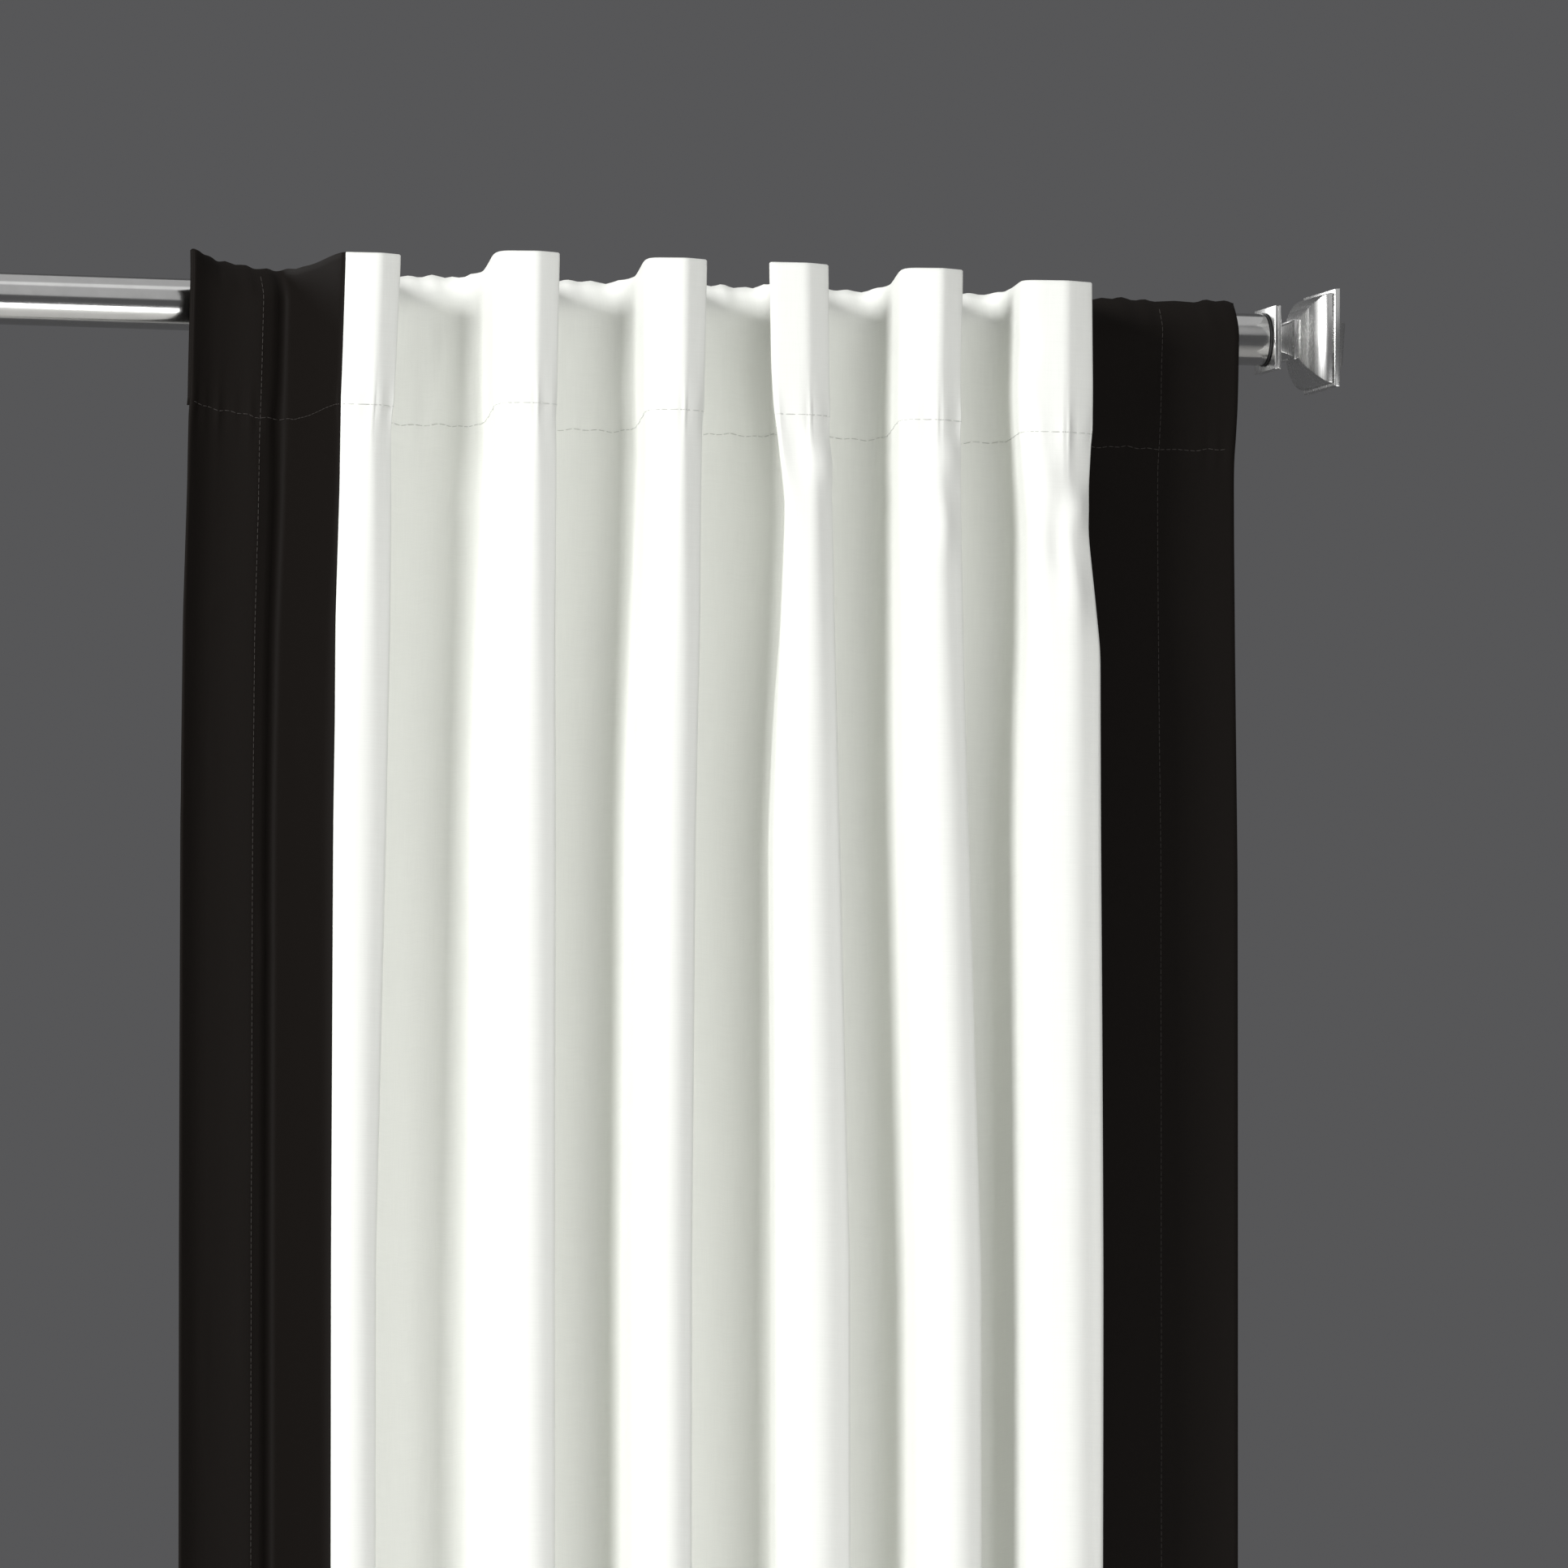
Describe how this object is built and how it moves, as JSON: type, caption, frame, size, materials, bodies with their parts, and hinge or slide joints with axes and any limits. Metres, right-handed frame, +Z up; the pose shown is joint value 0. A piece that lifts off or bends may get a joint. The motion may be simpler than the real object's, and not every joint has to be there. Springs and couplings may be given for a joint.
{
  "type": "curtain panel on a rod",
  "caption": "Colour-block curtain panel hung in even pleats by back tabs on a telescoping metal rod with square trumpet finials and two wall brackets.",
  "frame": {"origin": "the point on the wall level with the rod's axis and midway along the shut rod", "axes": "+X along the rod towards the fixed finial, +Y into the wall, +Z up"},
  "size_m": [0.7913, 0.1617, 2.1362],
  "materials": {
    "dark_cloth": "matte",
    "light_cloth": "matte",
    "black_plastic": "satin",
    "steel_screw": "satin",
    "nickel_tube": "satin",
    "nickel_finial": "polished",
    "nickel_bracket": "satin"
  },
  "bodies": {
    "brackets": {"right_wall_plate": "nickel_bracket", "right_bracket_arm": "nickel_bracket", "right_cradle_back": "nickel_bracket", "right_cradle_base": "nickel_bracket", "right_cradle_front": "nickel_bracket", "right_cradle_screw": "steel_screw", "left_wall_plate": "nickel_bracket", "left_bracket_arm": "nickel_bracket", "left_cradle_back": "nickel_bracket", "left_cradle_base": "nickel_bracket", "left_cradle_front": "nickel_bracket", "left_cradle_screw": "steel_screw"},
    "right_rod_screw": {"right_rod_screw": "steel_screw"},
    "left_rod_screw": {"left_rod_screw": "steel_screw"},
    "rod": {"outer_tube": "nickel_tube", "tube_mouth_ring": "black_plastic"},
    "inner_rod": {"inner_tube": "nickel_tube"},
    "right_finial": {"right_finial_plug": "black_plastic", "right_finial_stud": "steel_screw", "right_finial_flange": "nickel_finial", "right_finial_bell": "nickel_finial", "right_finial_face_plate": "nickel_finial", "right_finial_button": "nickel_finial"},
    "left_finial": {"left_finial_plug": "black_plastic", "left_finial_stud": "steel_screw", "left_finial_flange": "nickel_finial", "left_finial_bell": "nickel_finial", "left_finial_face_plate": "nickel_finial", "left_finial_button": "nickel_finial"},
    "trailing_edge": {"trailing_edge_cloth": "dark_cloth", "back_tab_7": "light_cloth"},
    "leading_edge": {"leading_edge_cloth": "dark_cloth", "back_tab_1": "light_cloth"},
    "tab_2": {"back_tab_2": "light_cloth", "recess_cloth_2": "light_cloth"},
    "tab_3": {"back_tab_3": "light_cloth", "recess_cloth_3": "light_cloth"},
    "tab_4": {"back_tab_4": "light_cloth", "recess_cloth_4": "light_cloth"},
    "tab_5": {"back_tab_5": "light_cloth", "recess_cloth_5": "light_cloth"},
    "tab_6": {"back_tab_6": "light_cloth", "recess_cloth_6": "light_cloth"},
    "pleat_1": {"pleat_1": "light_cloth"},
    "pleat_2": {"pleat_2": "light_cloth"},
    "pleat_3": {"pleat_3": "light_cloth"},
    "pleat_4": {"pleat_4": "light_cloth"},
    "pleat_5": {"pleat_5": "light_cloth"},
    "pleat_6": {"pleat_6": "light_cloth"}
  },
  "joints": [
    {"name": "rod_lift", "type": "slide", "parent": "brackets", "child": "rod", "axis": [0, 0, 1], "range_m": [0, 0.03]},
    {"name": "rod_telescope", "type": "slide", "parent": "rod", "child": "inner_rod", "axis": [-1, 0, 0], "range_m": [0, 0.508]},
    {"name": "right_finial_pull", "type": "slide", "parent": "rod", "child": "right_finial", "axis": [1, 0, 0], "range_m": [0, 0.034]},
    {"name": "left_finial_pull", "type": "slide", "parent": "inner_rod", "child": "left_finial", "axis": [-1, 0, 0], "range_m": [0, 0.034]},
    {"name": "right_rod_screw_turn", "type": "hinge", "parent": "brackets", "child": "right_rod_screw", "pos_m": [0.316, -0.09, 0], "axis": [0, 0, 1], "range_deg": [0, 720]},
    {"name": "left_rod_screw_turn", "type": "hinge", "parent": "brackets", "child": "left_rod_screw", "pos_m": [-0.316, -0.09, 0], "axis": [0, 0, 1], "range_deg": [0, 720]},
    {"name": "curtain_shift", "type": "slide", "parent": "rod", "child": "trailing_edge", "axis": [1, 0, 0], "range_m": [-0.11, 0.011]},
    {"name": "curtain_draw", "type": "slide", "parent": "trailing_edge", "child": "leading_edge", "axis": [1, 0, 0], "range_m": [0, 0.1333]},
    {"name": "tab_2_draw", "type": "slide", "parent": "trailing_edge", "child": "tab_2", "axis": [1, 0, 0], "range_m": [0, 0.1063]},
    {"name": "tab_3_draw", "type": "slide", "parent": "trailing_edge", "child": "tab_3", "axis": [1, 0, 0], "range_m": [0, 0.08133]},
    {"name": "tab_4_draw", "type": "slide", "parent": "trailing_edge", "child": "tab_4", "axis": [1, 0, 0], "range_m": [0, 0.05669]},
    {"name": "tab_5_draw", "type": "slide", "parent": "trailing_edge", "child": "tab_5", "axis": [1, 0, 0], "range_m": [0, 0.03717]},
    {"name": "tab_6_draw", "type": "slide", "parent": "trailing_edge", "child": "tab_6", "axis": [1, 0, 0], "range_m": [0, 0.01636]},
    {"name": "pleat_1_draw", "type": "slide", "parent": "trailing_edge", "child": "pleat_1", "axis": [1, 0, 0], "range_m": [0, 0.12015]},
    {"name": "pleat_2_draw", "type": "slide", "parent": "trailing_edge", "child": "pleat_2", "axis": [1, 0, 0], "range_m": [0, 0.09421]},
    {"name": "pleat_3_draw", "type": "slide", "parent": "trailing_edge", "child": "pleat_3", "axis": [1, 0, 0], "range_m": [0, 0.07003]},
    {"name": "pleat_4_draw", "type": "slide", "parent": "trailing_edge", "child": "pleat_4", "axis": [1, 0, 0], "range_m": [0, 0.04982]},
    {"name": "pleat_5_draw", "type": "slide", "parent": "trailing_edge", "child": "pleat_5", "axis": [1, 0, 0], "range_m": [0, 0.02788]},
    {"name": "pleat_6_draw", "type": "slide", "parent": "trailing_edge", "child": "pleat_6", "axis": [1, 0, 0], "range_m": [0, 0.0074]}
  ],
  "couplings": [
    {"joint": "tab_2_draw", "follows": "curtain_draw", "ratio": 0.79592},
    {"joint": "tab_3_draw", "follows": "curtain_draw", "ratio": 0.60864},
    {"joint": "tab_4_draw", "follows": "curtain_draw", "ratio": 0.42377},
    {"joint": "tab_5_draw", "follows": "curtain_draw", "ratio": 0.27731},
    {"joint": "tab_6_draw", "follows": "curtain_draw", "ratio": 0.12125},
    {"joint": "pleat_1_draw", "follows": "curtain_draw", "ratio": 0.89988},
    {"joint": "pleat_2_draw", "follows": "curtain_draw", "ratio": 0.70528},
    {"joint": "pleat_3_draw", "follows": "curtain_draw", "ratio": 0.52389},
    {"joint": "pleat_4_draw", "follows": "curtain_draw", "ratio": 0.37227},
    {"joint": "pleat_5_draw", "follows": "curtain_draw", "ratio": 0.20768},
    {"joint": "pleat_6_draw", "follows": "curtain_draw", "ratio": 0.05402}
  ]
}
